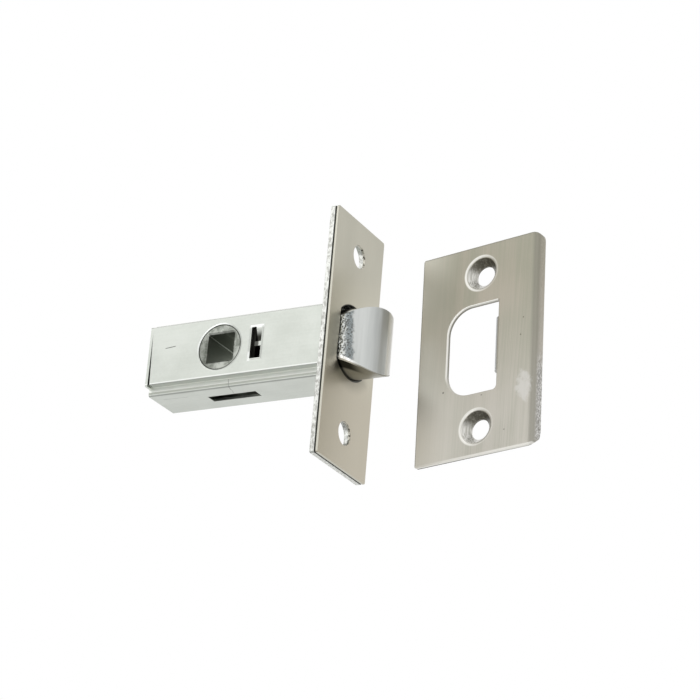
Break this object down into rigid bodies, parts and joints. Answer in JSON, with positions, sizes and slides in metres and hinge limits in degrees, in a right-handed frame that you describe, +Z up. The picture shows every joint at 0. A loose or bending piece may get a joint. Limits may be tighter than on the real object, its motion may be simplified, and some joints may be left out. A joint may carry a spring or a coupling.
{
  "type": "door latch",
  "caption": "Tubular mortice door latch with sprung bevelled bolt, square-socket follower, folded steel case, screw-on forend and loose strike plate with dimpled screw holes.",
  "frame": {"origin": "centre of the forend cover's front face, on the bolt's axis", "axes": "+X out of the door edge along the bolt, +Z up the forend, +Y away from the side that the bolt's bevel faces"},
  "size_m": [0.1112, 0.0264, 0.07],
  "materials": {
    "forend_cover": "satin nickel plated steel sheet",
    "forend_backing": "bright zinc plated steel strip",
    "case_shell": "bright zinc plated folded steel sheet",
    "case_back": "bright zinc plated folded steel sheet",
    "spring_plate": "zinc plated steel",
    "follower": "plated casting",
    "latch_bolt": "satin nickel plated casting",
    "stirrup": "zinc plated folded steel strip",
    "stirrup_rivet_upper": "bright steel",
    "stirrup_rivet_lower": "bright steel",
    "bolt_spring": "drawn spring wire",
    "strike_plate": "satin nickel plated steel sheet, brushed lengthwise"
  },
  "bodies": {
    "root": {"forend_cover": "forend_cover", "forend_backing": "forend_backing", "case_shell": "case_shell", "case_back": "case_back", "spring_plate": "spring_plate", "strike_plate": "strike_plate"},
    "bolt": {"latch_bolt": "latch_bolt", "stirrup": "stirrup", "stirrup_rivet_upper": "stirrup_rivet_upper", "stirrup_rivet_lower": "stirrup_rivet_lower", "bolt_spring": "bolt_spring"},
    "follower": {"follower": "follower"}
  },
  "joints": [
    {"name": "bolt_slide", "type": "slide", "parent": "root", "child": "bolt", "axis": [-1, 0, 0], "range_m": [0, 0.0094], "stiffness_N_per_m": 2000, "springref_m": -0.005, "deforming": ["bolt_spring"]},
    {"name": "follower_turn", "type": "hinge", "parent": "root", "child": "follower", "pos_m": [-0.0355, 0, 0], "axis": [0, -1, 0], "range_deg": [0, 70.2]}
  ],
  "couplings": [
    {"joint": "follower_turn", "follows": "bolt_slide", "rad_per_m": 129.97}
  ]
}
